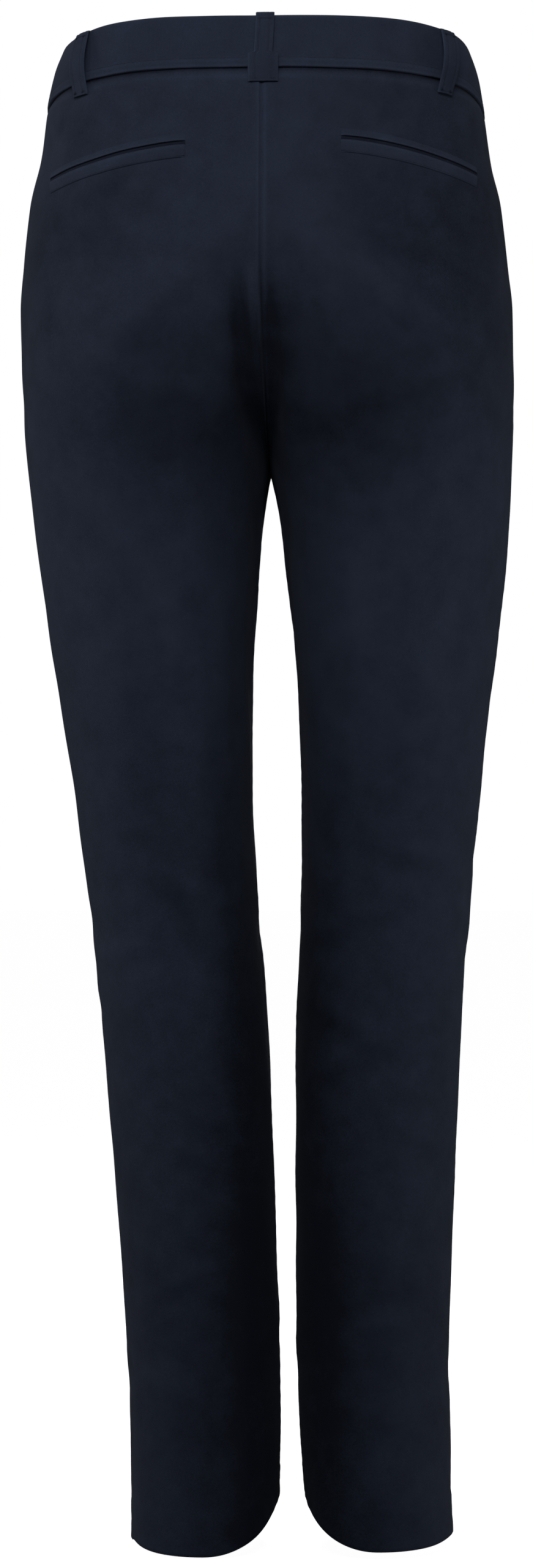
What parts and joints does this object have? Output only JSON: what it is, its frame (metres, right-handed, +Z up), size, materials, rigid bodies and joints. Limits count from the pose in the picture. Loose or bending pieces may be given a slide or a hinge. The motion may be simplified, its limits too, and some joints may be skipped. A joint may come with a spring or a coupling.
{
  "type": "slim chino trousers, filled out as worn",
  "caption": "Slim dark chino trousers in twill, hollow and filled out as worn, with a waistband, belt loops, welt back pockets and a closed fly.",
  "frame": {"origin": "centre of the waist opening, where the wearer holds the trousers up", "axes": "+Z up, -Y towards the front of the trousers, +X towards the wearer's left"},
  "size_m": [0.34, 0.2445, 1.0419],
  "materials": {
    "twill": "matt fine cotton twill, navy",
    "zip_tape": "matt woven tape",
    "zip_metal": "dulled metal",
    "button_resin": "satin resin"
  },
  "bodies": {
    "root": {"back_left": "twill", "back_right": "twill", "front_left": "twill", "front_right": "twill", "waistband": "twill", "hem_left": "twill", "hem_right": "twill", "belt_loop_back_centre": "twill", "belt_loop_back_left": "twill", "belt_loop_back_right": "twill", "belt_loop_front_left": "twill", "belt_loop_front_right": "twill", "back_welt_left": "twill", "back_welt_right": "twill", "front_pocket_edge_left": "twill", "front_pocket_edge_right": "twill", "fly_shield": "twill", "zip_tape": "zip_tape", "zip_slider": "zip_metal", "waistband_button": "button_resin"}
  },
  "joints": []
}
